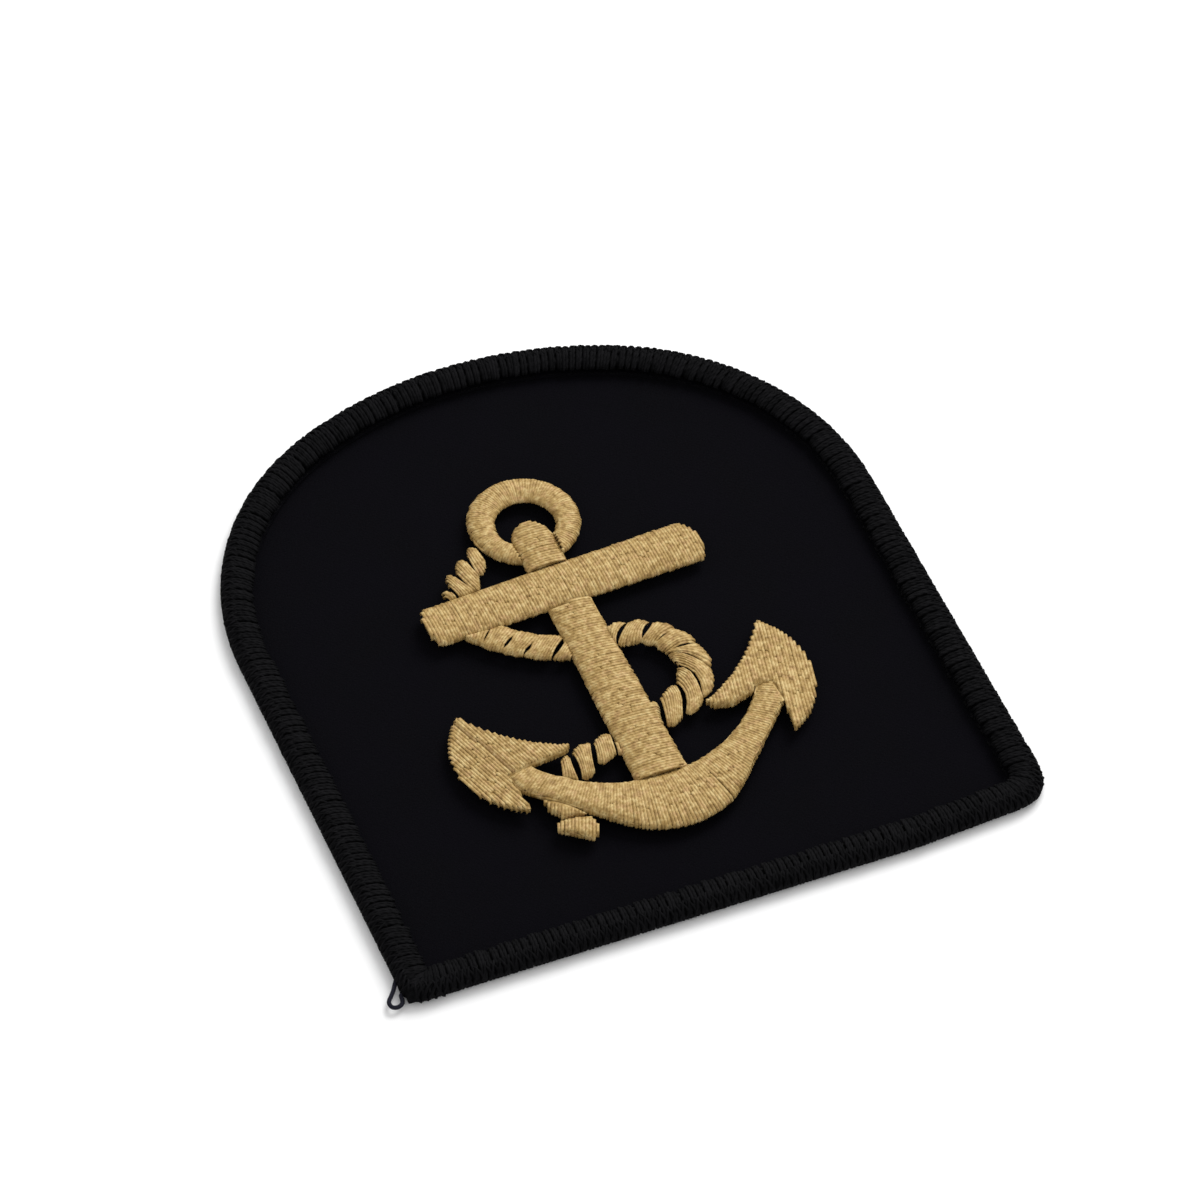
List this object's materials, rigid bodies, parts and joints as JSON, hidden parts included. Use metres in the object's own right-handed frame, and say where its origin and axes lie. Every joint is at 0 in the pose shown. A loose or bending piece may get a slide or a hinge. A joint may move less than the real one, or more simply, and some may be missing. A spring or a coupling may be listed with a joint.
{
  "type": "embroidered rank badge",
  "caption": "Arch-topped dark cloth badge for a sleeve, with an overlocked border and a raised gold-thread anchor wound with rope.",
  "frame": {"origin": "middle of the badge's outline, on its flat back", "axes": "+X to the right as the badge is seen, +Y towards the top of its arch, +Z out of its embroidered face"},
  "size_m": [0.0806, 0.0874, 0.0022],
  "materials": {
    "ground_cloth": "fine dark wool cloth, matt",
    "border_thread": "dark overlocked thread, slight sheen",
    "gold_thread": "gold-coloured satin stitching, mottled, soft sheen"
  },
  "bodies": {
    "root": {"ground_cloth": "ground_cloth", "merrowed_border": "border_thread", "thread_tail": "border_thread", "anchor_ring": "gold_thread", "shank_head": "gold_thread", "anchor_stock": "gold_thread", "anchor_shank": "gold_thread", "shank_foot": "gold_thread", "anchor_arms": "gold_thread", "left_fluke": "gold_thread", "right_fluke": "gold_thread", "rope_upper": "gold_thread", "rope_left": "gold_thread", "rope_right": "gold_thread", "rope_crossing": "gold_thread", "rope_lower": "gold_thread", "rope_end": "gold_thread"}
  },
  "joints": []
}
